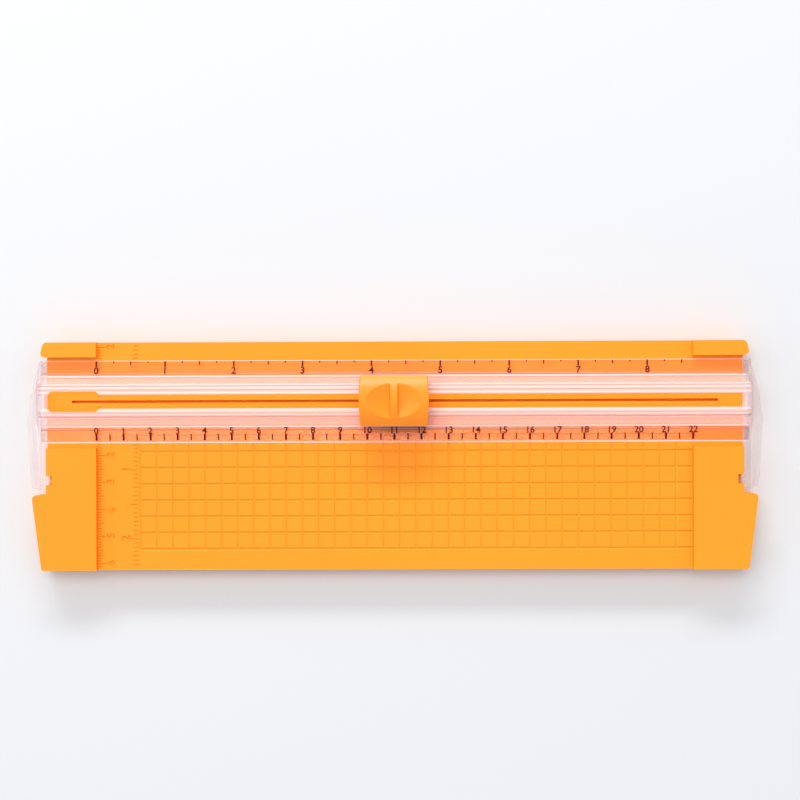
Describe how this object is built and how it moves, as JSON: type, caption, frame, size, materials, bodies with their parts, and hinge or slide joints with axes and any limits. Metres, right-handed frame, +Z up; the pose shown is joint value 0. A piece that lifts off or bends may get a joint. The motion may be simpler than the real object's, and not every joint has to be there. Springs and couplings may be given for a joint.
{
  "type": "paper trimmer",
  "caption": "Small sliding-blade paper trimmer: moulded base with grid and scales, hinged clear ruler rail, and a spring-loaded cutter head that slides along it.",
  "frame": {"origin": "centre of the footprint, on the surface the feet rest on", "axes": "+X right along the cut, +Y from the user to the back, +Z up"},
  "size_m": [0.2706, 0.0842, 0.0258],
  "materials": {
    "orange_plastic": "fine satin moulded",
    "clear_plastic": "clear polished acrylic with a faint pink tint",
    "foot_rubber": "matte",
    "white_plastic": "satin moulded",
    "blade_steel": "ground",
    "scale_ink": "printed"
  },
  "bodies": {
    "base": {"base_deck": "orange_plastic", "foot_front_left": "foot_rubber", "foot_front_right": "foot_rubber", "foot_back_left": "foot_rubber", "foot_back_right": "foot_rubber"},
    "rail_arm": {"clear_rail": "clear_plastic", "left_arm": "clear_plastic", "right_arm": "clear_plastic"},
    "carriage": {"carriage": "orange_plastic", "spring_left": "blade_steel", "spring_right": "blade_steel"},
    "cap": {"press_cap": "orange_plastic", "blade_holder_front": "white_plastic", "blade_holder_back": "white_plastic", "blade": "blade_steel"}
  },
  "joints": [
    {"name": "rail_hinge", "type": "hinge", "parent": "base", "child": "rail_arm", "pos_m": [0, -0.0089, 0.008], "axis": [1, 0, 0], "range_deg": [0, 80]},
    {"name": "head_slide", "type": "slide", "parent": "rail_arm", "child": "carriage", "axis": [1, 0, 0], "range_m": [-0.115, 0.115]},
    {"name": "cap_press", "type": "slide", "parent": "carriage", "child": "cap", "axis": [0, 0, -1], "range_m": [0, 0.0022], "stiffness_N_per_m": 500, "springref_m": -0.002, "deforming": ["spring_left", "spring_right"]}
  ]
}
